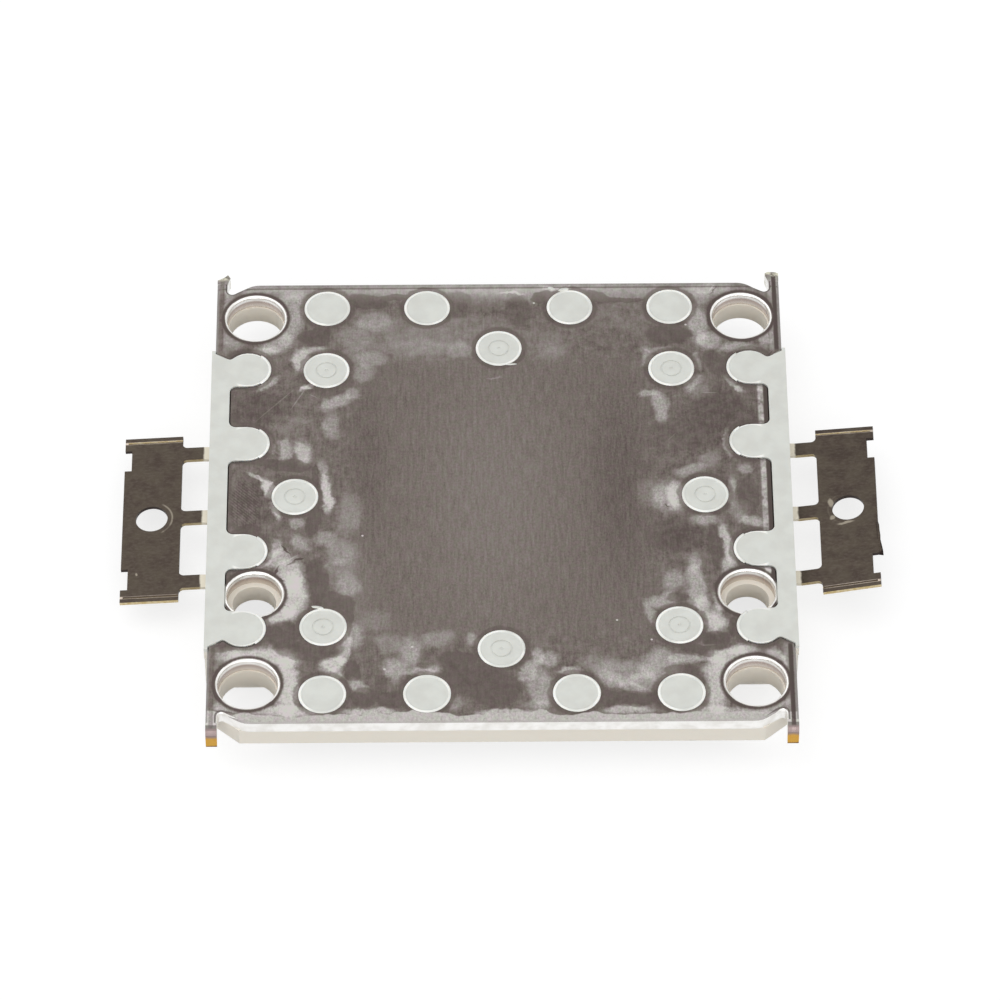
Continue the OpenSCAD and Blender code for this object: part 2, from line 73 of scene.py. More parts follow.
def holes(mount, radius):
    """Centres in millimetres of a mount's holes on the +X side, with a radius."""
    found = next(m for m in frame["record"]["mounts"] if m["name"] == mount)
    half_y = found["dims"].get("spacing_y_mm", 0.0) / 2
    return [(found["dims"]["spacing_x_mm"] / 2, found["pos_m"][1] / MM + half_y, radius)]


class Shader:
    """A node material, built with calls that take numbers or sockets alike."""

    def __init__(self, name):
        self.material = bpy.data.materials.new(name)
        self.material.use_nodes = True
        self.tree = self.material.node_tree
        self.tree.nodes.clear()
        self.output = self.tree.nodes.new("ShaderNodeOutputMaterial")
        self.coords = None

    def node(self, kind, **settings):
        made = self.tree.nodes.new(kind)
        for key, value in settings.items():
            setattr(made, key, value)
        return made

    def feed(self, socket, value):
        if isinstance(value, bpy.types.NodeSocket):
            self.tree.links.new(value, socket)
        else:
            socket.default_value = value

    def math(self, operation, a, b=0.0, c=0.0, clamp=False):
        made = self.node("ShaderNodeMath", operation=operation, use_clamp=clamp)
        for socket, value in zip(made.inputs, (a, b, c)):
            self.feed(socket, value)
        return made.outputs[0]

    def vector(self, operation, a, b=None, scale=None):
        made = self.node("ShaderNodeVectorMath", operation=operation)
        self.feed(made.inputs[0], a)
        if b is not None:
            self.feed(made.inputs[1], b)
        if scale is not None:
            self.feed(made.inputs["Scale"], scale)
        return made.outputs["Value" if operation == "DISTANCE" else "Vector"]

    def position(self):
        """Object position in millimetres."""
        if self.coords is None:
            source = self.node("ShaderNodeTexCoord")
            self.normal = source.outputs["Normal"]
            self.coords = self.vector("SCALE", source.outputs["Object"], scale=1.0 / MM)
        return self.coords

    def split(self, value):
        made = self.node("ShaderNodeSeparateXYZ")
        self.feed(made.inputs[0], value)
        return made.outputs

    def join(self, x, y, z):
        made = self.node("ShaderNodeCombineXYZ")
        for socket, value in zip(made.inputs, (x, y, z)):
            self.feed(socket, value)
        return made.outputs[0]

    def remap(self, value, low, high, to_low=0.0, to_high=1.0, smooth=True):
        kind = "SMOOTHSTEP" if smooth else "LINEAR"
        made = self.node("ShaderNodeMapRange", interpolation_type=kind)
        for socket, number in zip(made.inputs, (value, low, high, to_low, to_high)):
            self.feed(socket, number)
        return made.outputs[0]

    def mix(self, factor, a, b):
        made = self.node("ShaderNodeMix", data_type="RGBA")
        for index, value in ((0, factor), (6, a), (7, b)):
            self.feed(made.inputs[index], value)
        return made.outputs[2]

    def noise(self, coords, scale, detail=2.0, roughness=0.5, stretch=None, colour=False):
        if stretch:
            coords = self.vector("MULTIPLY", coords, stretch)
        made = self.node("ShaderNodeTexNoise")
        self.feed(made.inputs["Vector"], coords)
        self.feed(made.inputs["Scale"], scale)
        self.feed(made.inputs["Detail"], detail)
        self.feed(made.inputs["Roughness"], roughness)
        return made.outputs["Color" if colour else "Fac"]

    def wander(self, coords, scale, reach, detail=2.0):
        """The position moved about by noise, by up to half of reach."""
        cloud = self.noise(coords, scale, detail, colour=True)
        offset = self.vector("SUBTRACT", cloud, (0.5, 0.5, 0.5))
        return self.vector("ADD", coords, self.vector("SCALE", offset, scale=reach))

    def spot(self, coords, x, y, rx, ry, turn=0.0, edge=0.6):
        """1 inside an ellipse on the XY plane, falling to 0 at its rim."""
        made = self.node("ShaderNodeMapping", vector_type="TEXTURE")
        self.feed(made.inputs["Vector"], coords)
        made.inputs["Location"].default_value = (x, y, 0.0)
        made.inputs["Rotation"].default_value = (0.0, 0.0, math.radians(turn))
        made.inputs["Scale"].default_value = (rx, ry, 1000.0)
        ball = self.node("ShaderNodeTexGradient", gradient_type="SPHERICAL")
        self.feed(ball.inputs["Vector"], made.outputs[0])
        return self.remap(ball.outputs["Fac"], 0.0, edge)

    def spots(self, coords, table, edge=0.6, total=0.0, weight=1.0):
        """Weighted sum of spots. table holds (x, y, rx, ry, turn) and may end with a weight."""
        for x, y, rx, ry, turn, *own in table:
            mask = self.spot(coords, x, y, rx, ry, turn, edge)
            total = self.math("MULTIPLY_ADD", mask, own[0] if own else weight, total)
        return total

    def nearest(self, coords, circles):
        """Distance to the nearest of some circles' edges, below 0 inside one."""
        gaps = [self.math("SUBTRACT", self.vector("DISTANCE", coords, (x, y, 0.0)), r)
                for x, y, r in circles]
        return functools.reduce(lambda a, b: self.math("MINIMUM", a, b), gaps)

    def ramp(self, value, stops):
        made = self.node("ShaderNodeValToRGB")
        elements = made.color_ramp.elements
        while len(elements) < len(stops):
            elements.new(1.0)
        for element, (place, colour) in zip(elements, stops):
            element.position = place
            element.color = colour
        self.feed(made.inputs[0], value)
        return made.outputs[0]

    def bump(self, height, distance, strength=1.0):
        made = self.node("ShaderNodeBump")
        self.feed(made.inputs["Height"], height)
        made.inputs["Distance"].default_value = distance
        made.inputs["Strength"].default_value = strength
        return made.outputs[0]

    def surface(self, colour, roughness, normal=None, **constants):
        made = self.node("ShaderNodeBsdfPrincipled")
        self.feed(made.inputs["Base Color"], colour)
        self.feed(made.inputs["Roughness"], roughness)
        if normal is not None:
            self.feed(made.inputs["Normal"], normal)
        for key, value in constants.items():
            self.feed(made.inputs[key.replace("_", " ")], value)
        self.tree.links.new(made.outputs[0], self.output.inputs[0])
        return self.material


# ---- Plate -------------------------------------------------------------------------
# What lies flush in the back face, folded into the first quadrant: x, y, radius.
PLUGS = [
    (12.0, 17.2, 1.5), (5.0, 17.2, 1.5), (12.0, 11.45, 1.5), (0.0, 13.4, 1.5), (14.05, 0.0, 1.5),
    (17.45, 4.8, 1.5), (17.45, 11.55, 1.5),
]
PLUG_COUNT = 5  # the rows after these are the lobes

# Stains on the back face in millimetres: x, y, half widths, turn in degrees, weight.
BROAD = [
    (-0.5, 0.0, 7.5, 17.0, 0, 0.07), (8.4, 1.0, 3.4, 13.0, 0, -0.08),
    (-9.2, 3.0, 2.2, 11.0, 0, -0.06), (-4.5, 14.6, 8.5, 3.4, 0, 0.17),
    (9.0, 16.4, 6.0, 2.6, 0, 0.08), (3.6, 13.8, 3.0, 2.4, 0, 0.10),
    (-16.6, 8.0, 2.8, 2.6, 0, -0.09), (-17.0, -0.5, 2.6, 3.2, 0, -0.10),
    (15.5, 6.5, 4.5, 4.5, 0, -0.08), (12.6, -3.8, 2.8, 2.4, 0, -0.10),
    (0.0, 19.0, 30.0, 1.7, 0, 0.56), (-10.4, -8.0, 2.4, 6.0, 0, 0.08),
]
HAZE = [
    # rear left corner
    (-14.6, 16.6, 1.4, 3.4, -8, 0.42), (-15.4, 13.9, 1.6, 1.2, 30, 0.36),
    (-16.4, 13.2, 1.3, 0.7, 15, 0.4), (-18.6, 14.2, 1.0, 1.0, 0, 0.3),
    (-13.7, 12.3, 1.0, 1.4, 10, 0.62), (-12.9, 13.35, 1.3, 0.5, 0, 0.4),
    (-13.35, 9.85, 0.75, 0.32, 35, 0.7), (-16.1, 10.2, 0.4, 1.3, -42, 0.45),
    (-11.3, 8.5, 1.6, 0.75, 24, 0.4), (-10.2, 9.3, 0.8, 0.7, 0, 0.28),
    (-11.6, 6.4, 0.7, 1.6, 0, 0.3), (-9.4, 11.2, 1.0, 1.2, 0, 0.26),
    (-10.0, 14.2, 1.4, 2.4, 0, 0.16), (-13.55, 3.9, 0.85, 1.6, 10, 0.58),
    (-14.8, 4.2, 0.6, 1.5, -12, 0.42), (-15.8, 4.6, 0.5, 1.0, 0, 0.28),
    (-14.4, 6.6, 2.2, 1.2, 0, 0.10), (-18.9, 17.5, 0.45, 1.8, 0, 0.28),
    (-17.0, 19.0, 3.0, 0.5, 0, 0.2), (-15.9, 11.9, 0.6, 1.0, 0, 0.14),
    # left plug and the streak beside it
    (-15.75, 0.7, 0.6, 1.6, 28, 0.85), (-15.3, -1.1, 0.35, 1.2, 14, 0.75),
    (-16.8, 1.9, 0.85, 0.26, -28, 0.5), (-11.85, 0.2, 0.5, 2.3, 4, 0.72),
    (-12.1, 2.4, 0.5, 1.2, 6, 0.3), (-10.3, -1.5, 1.2, 2.4, 0, 0.22),
    (-13.8, -2.3, 0.9, 0.6, 0, 0.34), (-13.6, -4.1, 0.8, 1.1, 20, 0.36),
    (-11.9, -3.7, 1.2, 0.9, 0, 0.3), (-10.8, -5.0, 1.4, 1.5, 0, 0.24),
    (-11.0, -6.3, 1.6, 1.0, 10, 0.12), (-10.4, -7.8, 1.1, 1.4, 0, 0.26),
    (-15.4, -4.6, 0.6, 1.2, -15, 0.4),
    # beside the left locating hole
    (-15.2, -5.5, 1.1, 1.2, -30, 0.5), (-16.6, -6.05, 1.2, 0.4, 15, 0.5),
    (-14.3, -7.0, 1.1, 2.0, 0, 0.6), (-14.0, -8.9, 1.15, 2.4, 0, 0.7),
    (-14.9, -10.5, 1.5, 0.8, 35, 0.7),
    # front left corner
    (-16.0, -14.0, 3.2, 1.2, -6, 0.72), (-18.2, -14.0, 1.1, 1.0, 0, 0.36),
    (-14.3, -16.4, 1.0, 3.4, 0, 0.74), (-14.2, -18.6, 3.6, 0.7, 0, 0.62),
    (-18.4, -18.3, 1.1, 0.6, -20, 0.45), (-11.4, -14.7, 1.2, 0.9, 42, 0.7),
    (-10.6, -13.4, 0.6, 1.7, -14, 0.5), (-9.9, -12.2, 0.9, 1.4, 20, 0.34),
    (-9.5, -16.5, 1.0, 0.6, -40, 0.4), (-7.2, -15.2, 1.1, 1.4, 10, 0.4),
    (-6.1, -13.7, 0.9, 1.8, 0, 0.38), (-5.4, -15.35, 1.4, 0.5, 5, 0.4),
    (-4.4, -12.6, 1.6, 0.9, 20, 0.24), (-7.5, -13.0, 1.3, 1.2, 0, 0.18),
    (-8.6, -11.0, 1.5, 1.2, 0, 0.12), (-1.9, -12.6, 0.6, 0.7, 0, 0.3),
    (-3.1, -18.0, 0.6, 0.8, 0, 0.24),
    # front middle
    (1.75, -15.4, 0.7, 1.2, -20, 0.4), (2.4, -14.2, 0.6, 0.9, 0, 0.44),
    (3.25, -14.3, 0.9, 0.8, 0, 0.38), (2.6, -16.6, 1.1, 2.2, 5, 0.36),
    (2.5, -18.2, 1.3, 0.7, 0, 0.3), (7.4, -16.1, 1.4, 0.8, -30, 0.28),
    (8.3, -15.4, 2.4, 1.4, 0, 0.28), (8.8, -16.8, 1.5, 0.6, -20, 0.3),
    (6.5, -14.6, 1.8, 1.2, 0, 0.16),
    # front right corner
    (10.6, -14.9, 1.8, 1.8, 0, 0.38), (12.5, -14.35, 1.8, 0.6, 5, 0.42),
    (9.4, -16.2, 1.4, 1.0, 0, 0.28), (14.35, -16.4, 1.0, 3.5, 0, 0.66),
    (15.2, -14.1, 1.6, 1.0, 20, 0.6), (16.2, -13.6, 1.5, 0.6, 0, 0.5),
    (14.4, -18.8, 3.0, 0.6, 0, 0.5), (18.4, -14.1, 1.0, 0.7, -20, 0.5),
    (18.9, -15.3, 0.4, 1.4, 0, 0.45), (17.8, -18.6, 2.0, 0.6, 15, 0.46),
    (14.4, -11.2, 1.1, 1.2, 35, 0.68), (13.6, -9.9, 0.7, 1.2, 0, 0.44),
    (13.2, -7.9, 0.9, 2.8, 5, 0.46), (11.6, -7.6, 1.0, 1.5, -10, 0.34),
    (10.9, -9.35, 1.5, 0.8, 10, 0.4), (10.1, -10.6, 0.5, 1.5, 20, 0.34),
    (13.2, -5.9, 0.6, 1.3, 0, 0.26), (14.8, -9.5, 0.6, 1.7, -20, 0.4),
    (15.5, -4.6, 0.6, 2.5, 10, 0.66), (15.2, -6.2, 0.6, 1.0, 0, 0.45),
    (17.9, -6.7, 0.7, 0.4, 0, 0.7), (18.2, -10.3, 0.45, 0.6, 0, 0.6),
    # right plug
    (12.1, -0.2, 0.9, 1.8, 0, 0.6), (11.3, -0.2, 1.2, 1.9, 0, 0.34),
    (10.3, 0.1, 1.5, 1.9, 0, 0.15), (14.0, -2.3, 1.3, 0.75, 0, 0.4),
    (13.2, 2.2, 1.6, 0.6, 15, 0.32), (14.4, 3.2, 1.0, 1.1, 0, 0.18),
    (15.9, 0.2, 0.4, 1.8, 0, 0.36), (16.4, -1.6, 0.9, 1.2, 0, 0.22),
    (17.2, -2.4, 1.1, 0.6, 0, 0.45), (16.9, 2.3, 0.8, 0.6, 0, 0.32),
    (15.7, 4.6, 0.35, 1.8, 0, 0.36),
    # rear right
    (14.0, 15.6, 0.9, 2.3, 5, 0.44), (14.6, 14.0, 1.3, 1.0, 30, 0.38),
    (16.6, 13.45, 1.9, 0.6, 0, 0.4), (14.9, 18.9, 2.3, 0.7, 0, 0.24),
    (18.7, 14.4, 0.6, 1.4, 0, 0.42), (14.3, 18.0, 0.8, 1.0, 0, 0.3),
    (10.9, 13.25, 1.6, 0.35, 5, 0.28), (10.25, 12.4, 0.5, 1.0, -20, 0.32),
    (13.85, 12.2, 0.3, 1.2, 10, 0.28), (13.5, 10.1, 0.7, 1.2, -35, 0.36),
    (14.0, 9.3, 0.9, 0.9, 0, 0.2), (16.2, 10.2, 0.35, 1.0, 40, 0.4),
    (16.8, 9.5, 0.6, 0.35, -20, 0.5), (10.4, 9.1, 0.9, 0.45, 0, 0.36),
    (11.15, 8.0, 0.75, 1.8, 5, 0.4),
    # rear edge
    (3.6, 19.0, 0.7, 0.4, -25, 0.4), (4.3, 18.8, 0.35, 0.35, 0, 0.4),
    (5.0, 18.95, 0.35, 0.4, 0, 0.4), (0.9, 18.5, 1.1, 0.16, 0, 0.4),
    (-5.5, 13.5, 4.0, 1.0, 0, 0.12), (-2.6, 13.2, 1.2, 1.0, 0, 0.16),
    (3.6, 13.2, 1.4, 1.2, 0, 0.10), (-0.3, 10.7, 1.0, 0.12, 15, 0.16),
    # between the plugs
    (-8.6, 15.9, 1.7, 1.1, 0, 0.26), (-9.0, 12.4, 1.5, 0.9, 0, 0.26),
    (-11.1, -15.6, 0.8, 0.5, -35, 0.5), (-4.6, -15.2, 0.7, 0.7, 0, 0.34),
    (4.6, -15.4, 0.9, 0.5, 0, 0.45), (14.9, -8.7, 0.7, 1.6, -10, 0.5),
    (-8.8, -18.75, 2.4, 0.5, 0, 0.6), (8.4, -18.7, 2.2, 0.45, 0, 0.55),
    (0.2, -18.85, 2.6, 0.4, 0, 0.55),
]
# Where liquid stood between the plugs and left the metal dark. A row may end with a weight.
DARK = [
    (-9.3, 17.8, 1.8, 0.7, -10), (-7.4, 18.15, 1.4, 0.35, 8), (-2.9, 17.5, 1.4, 1.4, 0, 0.6),
    (1.4, 16.9, 1.1, 1.6, 0, 0.7), (3.1, 18.2, 0.9, 0.6, 25), (6.9, 18.1, 1.1, 0.6, -25),
    (8.8, 17.8, 1.8, 0.32, 0), (-12.9, 14.4, 1.3, 0.9, -8), (-12.3, 15.2, 0.7, 0.9, 0),
    (11.9, 14.6, 1.8, 1.0, 0), (15.0, 12.0, 0.8, 1.4, 20, 0.8), (15.2, 8.0, 2.0, 1.7, 0, 0.6),
    (12.9, 5.5, 2.4, 1.6, 0, 0.5), (-16.4, 8.0, 2.2, 1.6, 0, 0.4), (-18.3, 6.8, 0.5, 0.9, 0),
    (-11.4, 10.0, 1.6, 0.9, 30, 0.5), (-14.9, 2.9, 2.2, 0.6, -8), (-12.75, -2.2, 0.55, 1.6, -12),
    (-12.7, 1.4, 0.25, 1.6, 0), (-17.2, -2.9, 1.1, 0.5, 0), (-12.4, -7.2, 0.85, 1.9, 6),
    (-11.4, -9.2, 1.8, 0.9, -15), (-10.3, -10.8, 0.4, 1.4, -5), (-14.8, -12.0, 1.35, 1.2, 0),
    (-13.6, -13.5, 2.0, 0.9, -10), (-11.9, -13.6, 1.6, 0.7, 12), (-18.6, -13.2, 1.1, 0.4, 8),
    (-10.0, -15.2, 0.6, 1.1, 10), (-9.2, -17.5, 1.1, 0.9, 0), (-7.3, -17.7, 1.2, 0.8, 0),
    (-8.1, -16.2, 0.5, 1.3, 0, 0.7), (-3.0, -14.4, 1.5, 0.95, 0), (-2.6, -15.8, 1.7, 1.4, 0),
    (-0.5, -16.8, 2.0, 1.8, 0), (-1.2, -15.4, 1.6, 0.9, 0), (6.7, -17.7, 1.5, 0.8, 0),
    (8.7, -17.75, 1.8, 0.7, 0), (14.4, -12.8, 1.1, 1.0, 20), (13.2, -13.6, 1.4, 0.45, -18),
    (15.7, -11.6, 0.5, 1.0, 0), (12.0, -15.3, 1.4, 0.5, 0), (10.6, -17.3, 0.7, 1.3, 0),
    (11.9, -9.1, 0.9, 0.5, 0), (12.0, -3.6, 2.4, 1.7, 0, 0.5), (14.6, -4.6, 0.5, 2.3, 5, 0.8),
    (17.0, -0.2, 0.8, 2.0, 0, 0.8), (19.0, 16.0, 0.2, 2.5, 0),
]
SCRATCHES = [
    (-15.6, 8.2, 2.4, 0.07, 48, 0.18), (-13.9, 8.9, 1.5, 0.06, 62, 0.2),
    (-12.9, 9.1, 0.4, 0.05, -30, 0.2), (14.6, 9.2, 0.7, 0.06, -2, 0.3),
    (13.9, -13.2, 0.6, 0.08, 2, 0.3), (-14.4, -5.6, 1.0, 0.06, 35, 0.2),
    (15.0, 18.9, 0.5, 0.07, 60, 0.3), (11.9, 5.2, 0.6, 0.05, 50, 0.15),
]
CRACKS = [
    (-14.0, -5.85, 0.8, 0.14, 35), (-15.1, -6.6, 0.75, 0.12, 65), (-14.4, -9.7, 0.22, 0.16, 0),
    (-14.7, -7.35, 0.5, 0.09, -35), (-14.75, -4.7, 0.7, 0.1, -55), (15.0, 18.8, 0.6, 0.08, 60),
    (11.4, -1.0, 0.3, 0.1, -30), (13.1, 1.25, 0.5, 0.08, 30),
]
SPECKS = [
    (-6.0, -13.2), (-7.85, -15.1), (7.8, -11.0), (-9.4, -3.5), (2.5, 17.6), (10.1, -12.7),
    (13.1, 15.5),
]
SPECK_R = 0.1
# Half sizes of the clean middle, and the line of painted dark reflection along the rear edge's
# rounding.
CLEAN_HALF, REAR_LINE_Y = (10.6, 12.6), 19.05


def plate_finish():
    s = Shader("plated_copper")
    at = s.position()
    x, y, z = s.split(at)
    face_on = s.split(s.normal)[2]
    loose = s.wander(at, 0.7, 0.9)
    fine = s.wander(loose, 3.2, 0.4)
    side, end = s.math("ABSOLUTE", x), s.math("ABSOLUTE", y)
    mottle = s.noise(loose, 1.4, 3.0, 0.65)

    # How far the point lies from the nearest plug or lobe, and from the nearest hole.
    to_plug = s.nearest(s.join(side, end, 0.0), PLUGS)
    mounting = holes("mounting_holes", MOUNT_HOLE_R)
    locating = holes("locating_holes", LOCATING_HOLE_R)
    to_hole = s.math("MINIMUM", s.nearest(s.join(side, end, 0.0), mounting),
                     s.nearest(s.join(side, y, 0.0), locating))

    # Rolled grain along Y, and the speckle that the stains are made of.
    grain = s.noise(at, 5.0, 3.0, 0.7, stretch=(1.0, 0.13, 1.0))
    speckle = s.noise(at, 6.5, 3.0, 0.8, stretch=(1.0, 0.75, 1.0))
    grain = s.math("MULTIPLY_ADD", grain, 1.0, s.math("MULTIPLY_ADD", speckle, 1.1, -1.05))

    # Stains: broad tones, haze, and the dark places that keep clear of it, with rings of painted
    # shade round the plugs and lobes.
    away = s.math("MAXIMUM", s.math("DIVIDE", side, CLEAN_HALF[0]),
                  s.math("DIVIDE", end, CLEAN_HALF[1]))
    outer = s.remap(s.math("MULTIPLY_ADD", mottle, 0.3, away), 1.04, 1.2)
    haze = s.spots(fine, HAZE, edge=0.6)
    haze = s.math("MULTIPLY", haze, s.math("MULTIPLY_ADD", speckle, 1.5, 0.3))
    dark = s.spots(s.wander(at, 1.1, 0.7, 4.0), DARK, edge=0.22)
    # Painted shade: a dark ring round each plug and lobe, in the groove between it and the plate.
    painted_plug_shade = s.remap(s.math("MULTIPLY_ADD", mottle, -0.6, to_plug), 0.24, 0.04)
    dark = s.math("MAXIMUM", s.math("MINIMUM", dark, 1.0), painted_plug_shade)
    level = s.spots(loose, BROAD, edge=0.9, total=0.17)
    level = s.math("MULTIPLY_ADD", s.math("MULTIPLY_ADD", mottle, 0.5, -0.26), outer, level)
    level = s.math("ADD", s.math("ADD", level, haze), s.spots(at, SCRATCHES, 0.5))
    level = s.math("MULTIPLY", level, s.math("MULTIPLY_ADD", dark, -0.55, 1.0))

    # Along the front edge a pale film, in the recesses on the right a painted highlight strip.
    film = s.remap(s.math("MULTIPLY_ADD", s.noise(at, 0.45, 2.0), 1.6, y), -17.95, -18.1)
    film = s.math("MULTIPLY", film, s.math("MULTIPLY_ADD", speckle, 0.7, 0.48))
    level = s.math("MAXIMUM", level, film)
    # Painted highlight: a bright strip along the recesses on the right.
    recess = s.math("MULTIPLY", s.remap(end, 12.5, 12.2), s.remap(x, 17.85, 18.02))
    painted_highlight_strip = s.math("MULTIPLY", recess, s.remap(x, 18.35, 18.25))
    level = s.math("MULTIPLY_ADD", painted_highlight_strip, s.math("MULTIPLY_ADD", mottle, 1.8, -0.4), level)
    # Painted highlight: a pale band along the ears' outer rounding, stronger towards +X.
    ear = s.math("MULTIPLY", s.remap(end, 12.9, 13.3), s.remap(x, -5.0, 5.0, 0.4, 1.0))
    level = s.math("MULTIPLY_ADD", s.math("MULTIPLY", ear, s.remap(side, 18.85, 19.0)), 0.28, level)
    # Painted shade and reflection: dark lines along the ears' rounding, in the right recesses'
    # grooves, round the holes and along the rear edge's rounding.
    ear_line = s.remap(s.math("ABSOLUTE", s.math("SUBTRACT", side, 19.4)), 0.2, 0.1)
    painted_dark_lines = s.math("MAXIMUM", s.math("MULTIPLY", recess, s.remap(x, 18.3, 18.42)),
                   s.math("MULTIPLY", ear, ear_line))
    rim = s.math("MULTIPLY", s.remap(to_hole, 0.16, 0.24), s.remap(to_hole, 0.55, 0.3))
    painted_dark_lines = s.math("MAXIMUM", painted_dark_lines, rim)
    back = s.remap(s.math("ABSOLUTE", s.math("SUBTRACT", y, REAR_LINE_Y)), 0.12, 0.02)
    painted_dark_lines = s.math("MAXIMUM", painted_dark_lines, s.math("MULTIPLY", back, 0.6))
    level = s.math("MULTIPLY", level, s.math("MULTIPLY_ADD", painted_dark_lines, -0.85, 1.0))
    level = s.math("SUBTRACT", level, s.math("MULTIPLY", painted_dark_lines, 0.12))
    level = s.math("SUBTRACT", level, s.spots(fine, CRACKS, 0.5, weight=0.4))
    specks = [(a, b, SPECK_R, SPECK_R, 0) for a, b in SPECKS]
    level = s.math("ADD", level, s.spots(at, specks, 0.5, weight=0.8))

    # Fine hatching on the left, where the face was brushed aslant.
    hatch = s.math("SINE", s.math("MULTIPLY", s.math("ADD", x, y), 24.0))
    hatch = s.math("MULTIPLY", hatch, s.spot(loose, -17.6, -0.6, 1.6, 2.4))
    level = s.math("MULTIPLY_ADD", hatch, 0.06, level)
    grain = s.math("MULTIPLY", grain, s.math("MULTIPLY_ADD", dark, -0.6, 1.0))
    level = s.math("MULTIPLY_ADD", grain, 0.36, level, clamp=True)
    colour = s.ramp(level, [(0.0, tone(82, 72, 69)), (0.2, tone(111, 103, 98)),
                            (0.5, tone(143, 138, 135)), (1.0, tone(193, 190, 187))])
    tint = s.noise(at, 2.2, 2.0, 0.6)
    colour = s.vector("MULTIPLY", colour, s.mix(s.remap(tint, 0.35, 0.65), (1.04, 0.98, 1.03, 1.0),
                                                (0.97, 1.02, 0.95, 1.0)))

    # Painted reflection and shade on the roundings: open edges turn from a painted dark to a
    # painted bright reflection as they roll over, and closed grooves stay dark with painted shade.
    shallow = s.math("MULTIPLY", s.remap(face_on, 0.985, 0.95), s.remap(face_on, 0.60, 0.80))
    steep = s.remap(face_on, 0.80, 0.60)
    closed = s.math("MULTIPLY", s.remap(to_hole, 0.25, 0.35),
                    s.math("MULTIPLY", s.remap(side, 19.2, 19.1), s.remap(end, 14.2, 13.8)))
    scuff = s.noise(at, 1.2, 2.0, 0.5)
    painted_reflection = s.mix(s.remap(scuff, 0.3, 0.7), tone(232, 230, 226), tone(248, 247, 245))
    # Painted shade down the holes: the plate's wall is darker at the top and paler deeper down.
    shade = s.math("MULTIPLY", s.remap(to_hole, 0.1, 0.02), s.remap(z, -0.28, -0.5))
    wall = s.mix(s.remap(z, -0.4, -1.0), tone(172, 156, 148), tone(214, 206, 198))
    painted_reflection = s.mix(shade, painted_reflection, wall)
    in_hole = s.math("MULTIPLY", s.remap(to_hole, 0.19, 0.15), s.remap(face_on, 0.995, 0.96))
    colour = s.mix(s.math("MULTIPLY", shallow, 0.7), colour, tone(84, 76, 72))
    rolled = s.mix(closed, painted_reflection, tone(60, 50, 47))
    colour = s.mix(s.math("MAXIMUM", steep, in_hole), colour, rolled)

    # Fresh copper where the tie bars were sheared at the front, and painted highlights on the
    # rear tips where they tore.
    torn = s.math("MULTIPLY", s.remap(y, -19.9, -20.05), s.remap(side, 18.6, 18.8))
    depth = s.math("MULTIPLY_ADD", scuff, 0.4, z)
    fresh = s.mix(grain, tone(205, 158, 66), tone(186, 128, 44))
    copper = s.mix(s.remap(depth, -0.3, -0.7), tone(142, 126, 124), fresh)
    copper = s.mix(s.remap(depth, -1.25, -1.42), copper, tone(112, 80, 40))
    colour = s.mix(torn, colour, copper)
    painted_tip_highlight = s.math("MULTIPLY", s.remap(y, 19.7, 20.1), s.remap(mottle, 0.4, 0.6))
    colour = s.mix(painted_tip_highlight, colour, tone(205, 203, 184))

    rough = s.remap(level, 0.0, 0.9, 0.42, 0.6, smooth=False)
    rough = s.math("MULTIPLY_ADD", steep, -0.2, rough)
    height = s.math("MULTIPLY_ADD", mottle, 0.5, grain)
    return s.surface(colour, rough, s.bump(height, 0.015 * MM, 0.5), Metallic=0.82)


# ---- Plastic -----------------------------------------------------------------------
def plastic_finish():
    s = Shader("moulded_plastic")
    at = s.position()
    x, y, z = s.split(at)
    side = s.math("ABSOLUTE", x)
    mottle = s.noise(at, 0.8, 3.0)
    fine = s.noise(at, 9.0, 3.0, 0.6)
    colour = s.mix(s.remap(mottle, 0.3, 0.7), tone(209, 210, 204), tone(217, 219, 213))

    # Painted highlight: plug and lobe heads have a paler rim along their edge.
    to_plug = s.nearest(s.join(side, s.math("ABSOLUTE", y), 0.0), PLUGS)
    rim = s.math("ABSOLUTE", s.math("SUBTRACT", to_plug, 0.03))
    rim = s.math("MULTIPLY", s.remap(rim, 0.14, 0.06), s.remap(side, 18.3, 18.0))
    rim = s.math("MULTIPLY", rim, s.remap(s.noise(at, 0.5, 1.0), 0.35, 0.6, 0.25, 1.0))
    colour = s.mix(rim, colour, tone(250, 250, 245))

    # Painted light: walls below the flush face are painted a paler, warmer white than the face.
    colour = s.mix(s.remap(z, -0.1, -0.6), colour, tone(241, 235, 223))
    height = s.math("ADD", mottle, s.math("MULTIPLY", fine, 0.3))
    return s.surface(colour, s.remap(fine, 0.3, 0.7, 0.42, 0.55), s.bump(height, 0.02 * MM, 0.5),
                     Subsurface_Weight=0.15, Subsurface_Radius=(0.0012, 0.0010, 0.0008), IOR=1.5)


# ---- Terminals ---------------------------------------------------------------------
SCUFF_R = 1.42  # of the scratched arc round a wire hole


